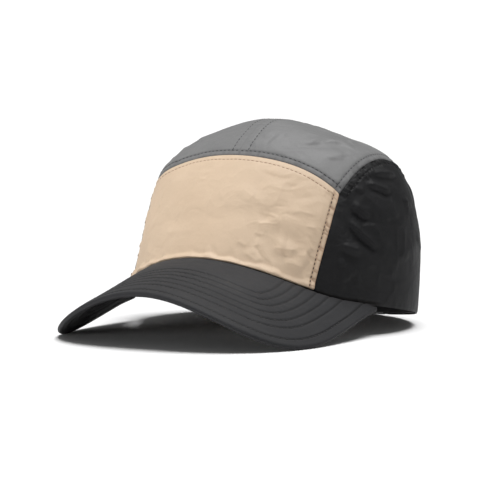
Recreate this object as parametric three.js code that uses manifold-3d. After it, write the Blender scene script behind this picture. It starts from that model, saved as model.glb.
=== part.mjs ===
// A soft five panel cap lying on a flat surface, in millimetres with +Z up.
// The cap is shaped in its own frame: the rim lies in z = 0, the peak points
// towards -Y and the wearer's left is +X. It is then tilted until the peak and
// the back of the rim both touch the surface.

import * as THREE from 'three';
import Module from 'manifold-3d';

const wasm = await Module();
wasm.setup();

// Crown
const crownHeight = 116;
const rimHalfWidth = 91.4;
const rimFront = 95.6;
const rimRear = 92.7;
const rimRoundness = 1.9;
const rollHeight = 45; // the wall curls towards the rim below this height

// Share of a plain dome at each step down the crown
const profile = [
  { down: 0, front: 1, side: 1, rear: 1 },
  { down: 0.25, front: 1.027, side: 1.014, rear: 1.023 },
  { down: 0.5, front: 0.988, side: 1.126, rear: 1.075 },
  { down: 0.75, front: 0.964, side: 1.085, rear: 1.018 },
  { down: 1, front: 1, side: 1, rear: 1 },
];
const curl = { front: -0.021, side: -0.01, rear: 0.031 };

// The crown turns a soft corner at the side seams and is flatter behind them
const corners = [
  { behind: 0, width: 13, share: 0.008 },
  { behind: 24, width: 16, share: -0.009 },
];

// Cloth
const clothWall = 1.4;
const seamGap = 0.3;
const layerGap = 0.35;

// Seams, as shares of the way down the crown: across to the wearer's left, and back
const sideSeamHeading = 44.2;
const stripRearHalfWidth = 38.8;
const seamCorner = { across: 0.521, back: -0.363 };
const frontSeamMiddle = { across: 0, back: -0.456 };
const stripBow = {
  upper: { across: -0.053, back: 0.393 },
  lower: { across: 0.037, back: -0.314 },
};

// Peak
const peakLength = 64;
const peakThickness = 4;
const peakWidestForward = 72;
const peakFlare = 0.7;
const peakEndWidth = 1.4;
const peakEndHeading = 73;
const peakBoardHeight = 18.2; // over the rim at the middle of the front
const peakSlope = 0.414;
const peakArchPower = 1.95;
const peakFrontPower = 2.6;
const peakSidePower = 2.24;

// Rear opening and closure
const openingHalfWidth = 28;
const openingHeight = 46;
const openingPower = 2.2;
const strapHeight = 20;
const strapThickness = 1.2;
const strapLift = 4.2; // over the rim
const strapTuck = 19;
const slideWidth = 24;
const slideBar = 4;
const slideRail = 2.2;
const slideThickness = 1.5;
const slideOffset = 7;

// Sweatband
const bandHeight = 32;
const bandThickness = 1.2;
const bandLift = 0.8;
const bandSlack = 1.3; // how far its upper edge stands off the cloth
const bandSetback = 2; // from the side of the rear opening

// Folds and dents: where they lie, how they run, and their shares of the crown's height
const folds = [
  // on the wearer's left side panel
  { heading: 79, down: 0.615, turn: 38, length: 0.1, width: 0.035, depth: 0.012 },
  { heading: 66, down: 0.71, turn: 30, length: 0.09, width: 0.035, depth: 0.012 },
  { heading: 65, down: 0.78, turn: 42, length: 0.15, width: 0.045, depth: 0.014 },
  { heading: 92, down: 0.72, turn: 60, length: 0.12, width: 0.05, depth: 0.01 },
  { heading: 118, down: 0.66, turn: -35, length: 0.14, width: 0.05, depth: 0.011 },
  // on the front panel
  { heading: 26, down: 0.86, turn: 48, length: 0.12, width: 0.05, depth: 0.012 },
  { heading: 34, down: 0.82, turn: 20, length: 0.09, width: 0.04, depth: 0.009 },
  { heading: 12, down: 0.74, turn: -12, length: 0.2, width: 0.07, depth: 0.008 },
  { heading: -20, down: 0.8, turn: 25, length: 0.18, width: 0.06, depth: 0.009 },
  // over the strip
  { heading: 62, down: 0.42, turn: 10, length: 0.16, width: 0.05, depth: 0.01 },
  { heading: -8, down: 0.3, turn: 80, length: 0.14, width: 0.06, depth: 0.008 },
  { heading: 150, down: 0.5, turn: -20, length: 0.18, width: 0.06, depth: 0.01 },
  { heading: -140, down: 0.46, turn: 25, length: 0.18, width: 0.06, depth: 0.01 },
  // on the wearer's right side panel
  { heading: -76, down: 0.66, turn: -40, length: 0.14, width: 0.045, depth: 0.012 },
  { heading: -66, down: 0.78, turn: -28, length: 0.13, width: 0.04, depth: 0.011 },
  { heading: -112, down: 0.72, turn: 36, length: 0.15, width: 0.05, depth: 0.011 },
];

// Facets
const seamRows = 12; // down a side seam
const halfFrontColumns = 10;
const sideColumns = 18;
const peakColumns = 44;
const peakRows = 5;
const bandColumns = 60;
const strapColumns = 24;

const rad = THREE.MathUtils.degToRad;
const { lerp, clamp } = THREE.MathUtils;
const smooth = (t) => THREE.MathUtils.smoothstep(t, 0, 1);
const vec = (x, y, z) => new THREE.Vector3(x, y, z);

// A heading is measured at the middle of the crown: 0 is the front, + the wearer's left
function around(heading, { front, side, rear }) {
  const c = Math.cos(heading);
  const f = Math.max(c, 0) ** 2;
  const r = Math.max(-c, 0) ** 2;
  return f * front + r * rear + (1 - f - r) * side;
}

function superRadius(angle, across, along, power) {
  const s = Math.abs(Math.sin(angle) / across) ** power;
  const c = Math.abs(Math.cos(angle) / along) ** power;
  return (s + c) ** (-1 / power);
}

function plainRadius(heading) {
  const along = Math.cos(heading) > 0 ? rimFront : rimRear;
  return superRadius(heading, rimHalfWidth, along, rimRoundness);
}

function cornerShare(heading) {
  const turn = Math.abs(THREE.MathUtils.euclideanModulo(heading + Math.PI, 2 * Math.PI) - Math.PI);
  let share = 0;
  for (const corner of corners) {
    const off = (THREE.MathUtils.radToDeg(turn) - sideSeamHeading - corner.behind) / corner.width;
    share += corner.share * Math.exp(-off * off);
  }
  return share;
}

function profileShare(down, heading) {
  const rows = profile.map((row) => around(heading, row));
  const last = rows.length - 1;
  const u = clamp(down, 0, 1) * last;
  const i = Math.min(Math.floor(u), last - 1);
  const t = u - i;
  const before = i > 0 ? rows[i - 1] : rows[1];
  const after = i < last - 1 ? rows[i + 2] : 2 * rows[last] - rows[last - 1];
  const a = rows[i];
  const b = rows[i + 1];
  return 0.5 * (2 * a + (b - before) * t + (2 * before - 5 * a + 4 * b - after) * t * t
    + (3 * a - before - 3 * b + after) * t ** 3);
}

function rimPoint(heading) {
  const r = plainRadius(heading) * (1 + cornerShare(heading)) * (1 - around(heading, curl));
  return vec(r * Math.sin(heading), -r * Math.cos(heading), 0);
}

// The peak's board is an arch across the cap that climbs towards the crown,
// and it comes down to the rim plane at the two ends of the peak
const peakEnd = rimPoint(rad(peakEndHeading));
const peakHalfWidth = peakEnd.x + layerGap + peakEndWidth + peakFlare;
const peakArch = (peakBoardHeight + peakSlope * (peakEnd.y + rimFront))
  / (peakEnd.x / peakHalfWidth) ** peakArchPower;

function boardHeight(x, y) {
  return peakBoardHeight + peakSlope * (y + rimFront)
    - peakArch * Math.abs(x / peakHalfWidth) ** peakArchPower;
}

function boardNormal(x, y) {
  const e = 0.01;
  const dx = (boardHeight(x + e, y) - boardHeight(x - e, y)) / (2 * e);
  const dy = (boardHeight(x, y + e) - boardHeight(x, y - e)) / (2 * e);
  return vec(-dx, -dy, 1).normalize();
}

function rimRise(heading) {
  const turn = THREE.MathUtils.euclideanModulo(heading + Math.PI, 2 * Math.PI) - Math.PI;
  if (Math.abs(turn) > rad(peakEndHeading)) return 0;
  const p = rimPoint(turn);
  return Math.max(boardHeight(p.x, p.y), 0);
}

const heart = vec(0, 0, crownHeight / 3);

function foldDepth(down, heading) {
  let depth = 0;
  for (const fold of folds) {
    const side = THREE.MathUtils.euclideanModulo(heading - rad(fold.heading) + Math.PI, 2 * Math.PI) - Math.PI;
    const x = side * fold.down * rimHalfWidth;
    const y = (fold.down - down) * Math.PI / 2 * crownHeight;
    const c = Math.cos(rad(fold.turn));
    const s = Math.sin(rad(fold.turn));
    const u = (x * c - y * s) / (fold.length * crownHeight);
    const v = (x * s + y * c) / (fold.width * crownHeight);
    const r = u * u + v * v;
    if (r < 9) depth += fold.depth * crownHeight * Math.exp(-r);
  }
  return depth * smooth((1 - down) / 0.24);
}

// The crown's outer surface over a disc: its middle is the top, its edge the rim.
// The cloth is folded; what lies inside it follows the plain surface.
function plainPoint({ across, back }) {
  const down = Math.hypot(across, back);
  const heading = Math.atan2(across, -back);
  const phi = down * Math.PI / 2;
  const share = profileShare(down, heading);
  const corner = 1 + cornerShare(heading) * smooth(down / 0.6);
  let z = share * crownHeight * Math.cos(phi);
  let r = share * plainRadius(heading) * corner * Math.sin(phi);
  r *= 1 - around(heading, curl) * Math.max(1 - z / rollHeight, 0) ** 2;
  z += rimRise(heading) * down ** 4;
  return vec(r * Math.sin(heading), -r * Math.cos(heading), z);
}

function foldedPoint(at) {
  const p = plainPoint(at);
  const inward = heart.clone().sub(p).normalize();
  return p.addScaledVector(inward, foldDepth(Math.hypot(at.across, at.back), Math.atan2(at.across, -at.back)));
}

function slopes(surface, { across, back }) {
  const e = 1e-4;
  const east = surface({ across: across + e, back });
  const west = surface({ across: across - e, back });
  const north = surface({ across, back: back + e });
  const south = surface({ across, back: back - e });
  return [east.sub(west).divideScalar(2 * e), north.sub(south).divideScalar(2 * e)];
}

function outward(surface, at) {
  const [a, b] = slopes(surface, at);
  return a.cross(b).normalize();
}

const polar = (down, heading) => ({ across: down * Math.sin(heading), back: -down * Math.cos(heading) });

// A point on the wall: a heading, a distance up the cloth from the rim, and a depth into it
function wallShare(heading, up) {
  const step = 0.01;
  let down = 1;
  let here = plainPoint(polar(down, heading));
  let gone = 0;
  while (down > step) {
    const next = plainPoint(polar(down - step, heading));
    const length = next.distanceTo(here);
    if (gone + length >= up) return down - step * (up - gone) / length;
    gone += length;
    down -= step;
    here = next;
  }
  return down;
}

function wallPoint(heading, up, depth) {
  const at = polar(wallShare(heading, up), heading);
  return plainPoint(at).addScaledVector(outward(plainPoint, at), -depth);
}

const rearHeading = (across) => Math.PI - across / rimRear;

// Solids. A section is a closed loop whose first half faces its second half.
function solid(points, triangles) {
  let volume = 0;
  const cross = vec(0, 0, 0);
  for (const [a, b, c] of triangles) volume += points[a].dot(cross.crossVectors(points[b], points[c]));
  const index = triangles.flatMap(([a, b, c]) => (volume > 0 ? [a, b, c] : [a, c, b]));
  const geometry = new THREE.BufferGeometry();
  geometry.setAttribute('position', new THREE.Float32BufferAttribute(points.flatMap((p) => p.toArray()), 3));
  geometry.setIndex(index);
  return geometry;
}

function sweep(sections) {
  const count = sections[0].length;
  const points = sections.flat();
  const triangles = [];
  const quad = (a, b, c, d) => {
    const even = points[a].distanceTo(points[c]) <= points[b].distanceTo(points[d]);
    if (even) triangles.push([a, b, c], [a, c, d]);
    else triangles.push([a, b, d], [b, c, d]);
  };
  for (let s = 0; s < sections.length - 1; s += 1) {
    for (let k = 0; k < count; k += 1) {
      const next = (k + 1) % count;
      quad(s * count + k, s * count + next, (s + 1) * count + next, (s + 1) * count + k);
    }
  }
  const last = (sections.length - 1) * count;
  for (let k = 0; k < count / 2 - 1; k += 1) {
    quad(k, count - 1 - k, count - 2 - k, k + 1);
    quad(last + k, last + k + 1, last + count - 2 - k, last + count - 1 - k);
  }
  return solid(points, triangles);
}

const steps = (count, from = 0, to = 1) => Array.from({ length: count + 1 }, (_, i) => lerp(from, to, i / count));

// Cloth panels. Each one fills four sides of the disc, drawn in from its seams.
function insetLoop(loop, gaps) {
  const count = loop.length;
  let area = 0;
  loop.forEach((p, k) => {
    const q = loop[(k + 1) % count];
    area += p.across * q.back - q.across * p.back;
  });
  return loop.map((at, k) => {
    const gap = [gaps[(k + count - 1) % count], gaps[k]];
    if (gap[0] === 0 && gap[1] === 0) return at;
    const [east, north] = slopes(foldedPoint, at);
    const x = east.clone().normalize();
    const y = vec(0, 0, 0).crossVectors(vec(0, 0, 0).crossVectors(east, north).normalize(), x);
    const here = foldedPoint(at);
    const inward = [loop[(k + count - 1) % count], loop[(k + 1) % count]].map((other, side) => {
      const run = foldedPoint(other).sub(here).multiplyScalar(side === 0 ? -1 : 1);
      const u = new THREE.Vector2(run.dot(x), run.dot(y)).normalize();
      return new THREE.Vector2(-u.y, u.x).multiplyScalar(Math.sign(area));
    });
    const turn = inward[0].cross(inward[1]);
    const move = new THREE.Vector2();
    if (Math.abs(turn) < 0.25) {
      move.addVectors(inward[0], inward[1]).normalize().multiplyScalar((gap[0] + gap[1]) / 2);
    } else {
      move.x = (gap[0] * inward[1].y - gap[1] * inward[0].y) / turn;
      move.y = (gap[1] * inward[0].x - gap[0] * inward[1].x) / turn;
    }
    const ex = east.dot(x);
    const nx = north.dot(x);
    const ny = north.dot(y);
    const back = move.y / ny;
    return { across: at.across + (move.x - nx * back) / ex, back: at.back + back };
  });
}

function panel({ bottom, right, top, left, gap }) {
  const n = bottom.length - 1;
  const m = left.length - 1;
  const loop = [
    ...bottom.slice(0, n), ...right.slice(0, m),
    ...top.slice(1).reverse(), ...left.slice(1).reverse(),
  ];
  const half = seamGap / 2;
  const gaps = [
    ...Array(n).fill(gap.bottom * half), ...Array(m).fill(gap.right * half),
    ...Array(n).fill(gap.top * half), ...Array(m).fill(gap.left * half),
  ];
  const fitted = insetLoop(loop, gaps);
  const b = fitted.slice(0, n + 1);
  const r = fitted.slice(n, n + m + 1);
  const t = fitted.slice(n + m, 2 * n + m + 1).reverse();
  const l = [...fitted.slice(2 * n + m), fitted[0]].reverse();
  const sections = steps(n).map((u, i) => {
    const outer = [];
    const inner = [];
    steps(m).forEach((v, j) => {
      const mix = (key) => (1 - v) * b[i][key] + v * t[i][key] + (1 - u) * l[j][key] + u * r[j][key]
        - (1 - u) * (1 - v) * b[0][key] - u * (1 - v) * b[n][key] - (1 - u) * v * t[0][key] - u * v * t[n][key];
      const at = { across: mix('across'), back: mix('back') };
      const p = foldedPoint(at);
      outer.push(p);
      inner.push(p.clone().addScaledVector(outward(foldedPoint, at), -clothWall));
    });
    return [...outer, ...inner.reverse()];
  });
  return sweep(sections);
}

const mirrored = (line) => line.map(({ across, back }) => ({ across: -across, back }));

// Seam lines on the wearer's left half
const stripEnd = rearHeading(stripRearHalfWidth);
const sideSeamFoot = polar(1, rad(sideSeamHeading));
const stripFoot = polar(1, stripEnd);

const frontSeam = steps(halfFrontColumns).map((t) => ({
  across: t * seamCorner.across,
  back: lerp(frontSeamMiddle.back, seamCorner.back, t * t),
}));

const sideSeam = steps(seamRows).map((t) => ({
  across: lerp(sideSeamFoot.across, seamCorner.across, t),
  back: lerp(sideSeamFoot.back, seamCorner.back, t),
}));

const stripSeam = steps(sideColumns + seamRows).map((t) => {
  const bezier = (key) => (1 - t) ** 3 * seamCorner[key]
    + 3 * (1 - t) ** 2 * t * (seamCorner[key] + stripBow.upper[key])
    + 3 * (1 - t) * t * t * (stripFoot[key] + stripBow.lower[key])
    + t ** 3 * stripFoot[key];
  return { across: bezier('across'), back: bezier('back') };
});

const openingEdge = Math.PI - rearHeading(openingHalfWidth);
const archColumns = Math.round(halfFrontColumns * 0.7);
const arch = steps(archColumns).map((t) => {
  const off = Math.sin(t * Math.PI / 2);
  const up = openingHeight * (1 - off ** openingPower) ** (1 / openingPower);
  const heading = Math.PI - openingEdge * off;
  return polar(wallShare(heading, up), heading);
});
const stripHem = steps(halfFrontColumns - archColumns, Math.PI - openingEdge, stripEnd).map((h) => polar(1, h));
const stripRear = [...arch, ...stripHem.slice(1)];
const stripMiddle = steps(sideColumns + seamRows, frontSeam[0].back, arch[0].back)
  .map((back) => ({ across: 0, back }));

const frontHem = steps(2 * halfFrontColumns, -rad(sideSeamHeading), rad(sideSeamHeading)).map((h) => polar(1, h));
const sideHem = steps(sideColumns, rad(sideSeamHeading), stripEnd).map((h) => polar(1, h));

const frontSides = {
  bottom: frontHem,
  right: sideSeam,
  top: [...mirrored(frontSeam).reverse(), ...frontSeam.slice(1)],
  left: mirrored(sideSeam),
  gap: { bottom: 0, right: 1, top: 1, left: 1 },
};
const stripSides = {
  bottom: frontSeam,
  right: stripSeam,
  top: stripRear,
  left: stripMiddle,
  gap: { bottom: 1, right: 1, top: 0, left: 1 },
};
const flankSides = {
  bottom: sideHem,
  right: stripSeam.slice(sideColumns).reverse(),
  top: stripSeam.slice(0, sideColumns + 1),
  left: sideSeam,
  gap: { bottom: 0, right: 1, top: 1, left: 1 },
};
const mirrorSides = ({ bottom, right, top, left, gap }) => ({
  bottom: mirrored(bottom), right: mirrored(right), top: mirrored(top), left: mirrored(left), gap,
});

// Peak: sections from the wearer's right end to the left, each from the crown out to the edge
function makePeak() {
  const frontRim = -rimPoint(0).y;
  const reach = frontRim + peakLength - peakWidestForward;
  const endAcross = peakEnd.x + layerGap + peakEndWidth;
  const endAlong = peakEnd.y + peakWidestForward;
  const rearReach = endAlong / (1 - (endAcross / peakHalfWidth) ** peakSidePower) ** (1 / peakSidePower);
  const endAngle = Math.atan2(endAcross, -endAlong);
  const outline = (angle) => {
    const ahead = Math.cos(angle) > 0;
    const r = superRadius(angle, peakHalfWidth, ahead ? reach : rearReach, ahead ? peakFrontPower : peakSidePower);
    return vec(r * Math.sin(angle), -peakWidestForward - r * Math.cos(angle), 0);
  };
  return sweep(steps(peakColumns, -1, 1).map((s) => {
    const rim = rimPoint(s * rad(peakEndHeading));
    const at = polar(1, s * rad(peakEndHeading));
    const normal = outward(plainPoint, at);
    const slope = vec(normal.x, normal.y, 0).normalize();
    const wall = plainPoint(polar(0.985, s * rad(peakEndHeading))).sub(plainPoint(at)).normalize();
    const start = rim.clone().addScaledVector(slope, layerGap / Math.hypot(normal.x, normal.y));
    const end = outline(s * endAngle);
    const width = start.distanceTo(end);
    const round = Math.min(peakThickness / 2, width * 0.4);
    const place = (t, off) => {
      const p = start.clone().lerp(end, t);
      p.z = boardHeight(p.x, p.y);
      const board = boardNormal(p.x, p.y);
      const free = smooth(t * width / (3 * peakThickness));
      const way = wall.clone().lerp(board, free).normalize();
      return p.addScaledVector(way, off / way.dot(board));
    };
    const flat = 1 - round / width;
    const upper = steps(peakRows).map((k) => place(k * flat, peakThickness / 2));
    const lower = steps(peakRows).map((k) => place(k * flat, -peakThickness / 2)).reverse();
    const edge = [67.5, 22.5, -22.5, -67.5].map((a) => place(
      flat + Math.cos(rad(a)) * round / width,
      Math.sin(rad(a)) * peakThickness / 2,
    ));
    return [...upper, ...edge, ...lower];
  }));
}

// Rear closure and sweatband, laid inside the cloth
const strapDepth = clothWall + layerGap;
const strapReach = openingHalfWidth + strapTuck;

function wallBlock({ across, up, depth }) {
  return across.map((a) => {
    const heading = rearHeading(a);
    const outer = up.map((u) => wallPoint(heading, u, depth[0]));
    const inner = up.map((u) => wallPoint(heading, u, depth[1])).reverse();
    return [...outer, ...inner];
  });
}

function makeStrap() {
  return sweep(wallBlock({
    across: steps(strapColumns, -strapReach, strapReach),
    up: steps(2, strapLift, strapLift + strapHeight),
    depth: [strapDepth, strapDepth + strapThickness],
  }));
}

function toManifold(geometry) {
  return new wasm.Manifold(new wasm.Mesh({
    numProp: 3,
    vertProperties: new Float32Array(geometry.attributes.position.array),
    triVerts: new Uint32Array(geometry.index.array),
  }));
}

function makeSlide() {
  const ends = [slideOffset - slideWidth / 2, slideOffset + slideWidth / 2];
  const front = strapDepth - layerGap - slideThickness;
  const back = strapDepth + strapThickness + layerGap + slideThickness;
  const low = strapLift - layerGap;
  const high = strapLift + strapHeight + layerGap;
  const step = slideThickness * 0.12; // the bars sit this much inside the rails' faces
  const rail = (from, to) => wallBlock({ across: steps(6, ...ends), up: [from, to], depth: [front, back] });
  const bar = (from, depth) => wallBlock({
    across: steps(2, from, from + slideBar),
    up: steps(2, low - slideRail / 2, high + slideRail / 2),
    depth,
  });
  const outerDepth = [front + step, strapDepth - layerGap];
  const innerDepth = [strapDepth + strapThickness + layerGap, back - step];
  const blocks = [
    rail(low - slideRail, low),
    rail(high, high + slideRail),
    bar(ends[0] + step, outerDepth),
    bar(ends[1] - slideBar - step, outerDepth),
    bar(slideOffset - slideBar / 2, innerDepth),
  ].map((sections) => toManifold(sweep(sections)));
  const whole = blocks.reduce((sum, block) => sum.add(block)).getMesh();
  const geometry = new THREE.BufferGeometry();
  geometry.setAttribute('position', new THREE.BufferAttribute(new Float32Array(whole.vertProperties), 3));
  geometry.setIndex(new THREE.BufferAttribute(new Uint32Array(whole.triVerts), 1));
  return geometry;
}

// The band steps inwards where the ends of the strap lie between it and the cloth
function makeBand() {
  const end = Math.PI - (openingHalfWidth + bandSetback) / rimRear;
  const stepWidth = 14 / rimRear;
  const strapEnd = Math.PI - strapReach / rimRear;
  return sweep(steps(bandColumns, -end, end).map((heading) => {
    const tucked = smooth((Math.abs(heading) - strapEnd + stepWidth) / (stepWidth * 0.8));
    const depth = strapDepth + tucked * (strapThickness + layerGap);
    const rows = steps(3).map((t) => ({ up: bandLift + t * bandHeight, depth: depth + t * bandSlack }));
    const outer = rows.map((row) => wallPoint(heading, row.up, row.depth));
    const inner = rows.map((row) => wallPoint(heading, row.up, row.depth + bandThickness)).reverse();
    return [...outer, ...inner];
  }));
}

function fabric(color, roughness = 0.8) {
  return new THREE.MeshStandardMaterial({ color, roughness, metalness: 0 });
}

const cap = new THREE.Group();

function add(name, geometry, material) {
  geometry.computeVertexNormals();
  const mesh = new THREE.Mesh(geometry, material);
  mesh.name = name;
  cap.add(mesh);
  return mesh;
}

const beige = fabric(0xd9c4a6, 0.7);
const grey = fabric(0x868686, 0.65);
const black = fabric(0x2b2c2d, 0.6);
const charcoal = fabric(0x424448, 0.75);
const webbing = fabric(0x242526, 0.85);
const plastic = new THREE.MeshStandardMaterial({ color: 0x1a1b1c, roughness: 0.45, metalness: 0 });

add('front_panel', panel(frontSides), beige);
add('top_panel_left', panel(stripSides), grey);
add('top_panel_right', panel(mirrorSides(stripSides)), grey);
add('side_panel_left', panel(flankSides), black);
add('side_panel_right', panel(mirrorSides(flankSides)), black);
add('peak', makePeak(), charcoal);
add('sweatband', makeBand(), black);
add('rear_strap', makeStrap(), webbing);
add('strap_slide', makeSlide(), plastic);

// At rest the lowest point ahead of the middle and the lowest behind it are level
function lowest(tilt, ahead) {
  let low = Infinity;
  for (const mesh of cap.children) {
    const { array } = mesh.geometry.attributes.position;
    for (let i = 0; i < array.length; i += 3) {
      if (array[i + 1] < 0 !== ahead) continue;
      low = Math.min(low, array[i + 1] * Math.sin(tilt) + array[i + 2] * Math.cos(tilt));
    }
  }
  return low;
}

let [less, more] = [-0.6, 0.6];
for (let i = 0; i < 40; i += 1) {
  const tilt = (less + more) / 2;
  if (lowest(tilt, true) > lowest(tilt, false)) less = tilt;
  else more = tilt;
}
cap.rotation.x = (less + more) / 2;
cap.updateMatrixWorld(true);

const box = new THREE.Box3().setFromObject(cap, true);
const middle = box.getCenter(new THREE.Vector3());
cap.position.set(-middle.x, -middle.y, -box.min.z);

const group = new THREE.Group();
group.add(cap);
group.updateMatrixWorld(true);

export default group;
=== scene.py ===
import math

import bpy
import numpy as np
from mathutils import Matrix, Vector


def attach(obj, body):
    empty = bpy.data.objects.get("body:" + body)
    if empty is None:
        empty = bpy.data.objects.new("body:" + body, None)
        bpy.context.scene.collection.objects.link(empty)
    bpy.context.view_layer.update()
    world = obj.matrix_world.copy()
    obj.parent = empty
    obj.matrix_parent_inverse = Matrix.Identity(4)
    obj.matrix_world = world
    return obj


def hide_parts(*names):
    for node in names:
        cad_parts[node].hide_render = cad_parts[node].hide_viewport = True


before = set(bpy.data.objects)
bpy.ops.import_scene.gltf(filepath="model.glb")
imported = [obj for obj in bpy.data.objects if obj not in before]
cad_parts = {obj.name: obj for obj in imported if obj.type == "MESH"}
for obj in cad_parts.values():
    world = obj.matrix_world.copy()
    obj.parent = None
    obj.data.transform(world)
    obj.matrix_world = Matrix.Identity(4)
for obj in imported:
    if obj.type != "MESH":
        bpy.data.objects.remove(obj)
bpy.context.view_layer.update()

print("frame loaded:", sorted(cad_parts))


# camera and studio

shot = {
    "heading": 30.73,           # degrees round from the peak, towards the wearer's left
    "height": 5.08,             # degrees up
    "distance": 2.430,
    "aim": (0.0, 0.0335, 0.0597),
    "across": -0.02212,
    "up": -0.0058,
    "frameWidth": 0.3059,       # metres across the picture at the aim point
}


def placeCamera():
    a, e = math.radians(shot["heading"]), math.radians(shot["height"])
    back = Vector((math.sin(a) * math.cos(e), -math.cos(a) * math.cos(e), math.sin(e)))
    right = Vector((math.cos(a), math.sin(a), 0))
    up = back.cross(right)
    data = bpy.data.cameras.new("camera")
    data.sensor_width = 36
    data.lens = 36 * shot["distance"] / shot["frameWidth"]
    data.clip_end = 100
    camera = bpy.data.objects.new("camera", data)
    spot = Vector(shot["aim"]) + right * shot["across"] + up * shot["up"] + back * shot["distance"]
    turn = Matrix((right, up, back)).transposed().to_4x4()
    camera.matrix_world = Matrix.Translation(spot) @ turn
    bpy.context.scene.collection.objects.link(camera)
    bpy.context.scene.camera = camera


class Wire:
    # a socket in a node tree, used in sums as if it were a number
    def __init__(self, tree, socket=None):
        self.tree = tree
        self.socket = socket

    def node(self, kind, settings=None, values=None, out=0):
        made = self.tree.nodes.new(kind)
        for key, value in (settings or {}).items():
            setattr(made, key, value)
        for key, value in (values or {}).items():
            target = made.inputs[key]
            if isinstance(value, Wire):
                self.tree.links.new(value.socket, target)
            else:
                target.default_value = value
        return Wire(self.tree, made.outputs[out])

    def sum(self, operation, *terms):
        return self.node("ShaderNodeMath", {"operation": operation}, dict(enumerate(terms)))

    def __add__(self, other): return self.sum("ADD", self, other)
    def __sub__(self, other): return self.sum("SUBTRACT", self, other)
    def __mul__(self, other): return self.sum("MULTIPLY", self, other)

    def blend(self, first, second):
        # this value mixes two colours
        return self.node("ShaderNodeMix", {"data_type": "RGBA"}, {0: self, 6: first, 7: second}, 2)

    def between(self, values):
        # takes a low and a high value to 0 and 1, or to the two that follow
        places = dict(enumerate((self, *values)))
        return self.node("ShaderNodeMapRange", {"clamp": True}, places)

    def attribute(self, name, out=2):
        return self.node("ShaderNodeAttribute", {"attribute_name": name}, out=out)

    def part(self, number):
        return self.node("ShaderNodeSeparateXYZ", None, {0: self}, out=number)

    def noise(self, scale, detail, settings=None, **values):
        places = {"Vector": self, "Scale": scale, "Detail": detail, **values}
        return self.node("ShaderNodeTexNoise", settings, places)

    def wave(self, pitch):
        turn = self * (2 * math.pi / pitch)
        return turn.sum("SINE", turn)

    def bump(self, strength, distance, **values):
        # this value raises the surface
        places = {"Height": self, "Strength": strength, "Distance": distance, **values}
        return self.node("ShaderNodeBump", None, places)


def colour(rgb):
    # a colour given as it looks on screen, 0 to 255
    linear = [((c / 255 + 0.055) / 1.055) ** 2.4 if c > 10 else c / 255 / 12.92 for c in rgb]
    return (*linear, 1.0)


def newMaterial(name):
    made = bpy.data.materials.new(name)
    made.use_nodes = True
    wire = Wire(made.node_tree)
    shader = made.node_tree.nodes["Principled BSDF"]

    def feed(socket, value):
        if isinstance(value, Wire):
            wire.tree.links.new(value.socket, shader.inputs[socket])
        else:
            shader.inputs[socket].default_value = value

    return made, wire, feed


studio = {
    "floor": 247, "floorHalfWidth": 40,
    "sky": 0.12, "horizon": 0.4, "horizonFades": (0.06, 0.16),
    "sun": {"from": (0.08, 0.19, 1.0), "strength": 3.5, "angle": 40},
    "lamps": [
        # name, place, aim, width and height, watts
        ("frontCard", (-1.4, -2.55, 0.14), (0.0, 0.0, 0.08), (1.8, 0.24), 40),
    ],
}


def buildStudio():
    mesh = bpy.data.meshes.new("floor")
    w = studio["floorHalfWidth"]
    mesh.from_pydata([(-w, -w, 0), (w, -w, 0), (w, w, 0), (-w, w, 0)], [], [(0, 1, 2, 3)])
    floor = bpy.data.objects.new("floor", mesh)
    bpy.context.scene.collection.objects.link(floor)
    paint, _, feed = newMaterial("paleFloor")
    feed("Base Color", colour([studio["floor"]] * 3))
    feed("Roughness", 0.9)
    feed("Specular IOR Level", 0.1)
    mesh.materials.append(paint)
    world = bpy.data.worlds.new("studio")
    bpy.context.scene.world = world
    world.use_nodes = True
    wire = Wire(world.node_tree)
    level = wire.node("ShaderNodeTexCoord").part(2)
    low, high = (studio["horizon"],) * 3 + (1,), (studio["sky"],) * 3 + (1,)
    shade = level.between(studio["horizonFades"]).blend(low, high)
    back = world.node_tree.nodes["Background"]
    world.node_tree.links.new(shade.socket, back.inputs["Color"])
    sun = bpy.data.lights.new("overhead", "SUN")
    sun.energy = studio["sun"]["strength"]
    sun.angle = math.radians(studio["sun"]["angle"])
    lit = [("overhead", sun, studio["sun"]["from"], (0, 0, 0))]
    for name, place, aim, size, watts in studio["lamps"]:
        data = bpy.data.lights.new(name, "AREA")
        data.shape = "RECTANGLE"
        data.size, data.size_y = size
        data.energy = watts
        lit.append((name, data, place, aim))
    for name, data, place, aim in lit:
        lamp = bpy.data.objects.new(name, data)
        lamp.location = place
        lamp.rotation_euler = (Vector(aim) - Vector(place)).to_track_quat("-Z", "Y").to_euler()
        lamp.visible_camera = False
        bpy.context.scene.collection.objects.link(lamp)
    bpy.context.scene.view_settings.view_transform = "Standard"


placeCamera()
buildStudio()
print("camera and studio ready")


# the crown's shape, in millimetres, in its own frame: the rim is level and the peak points to -Y

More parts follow.
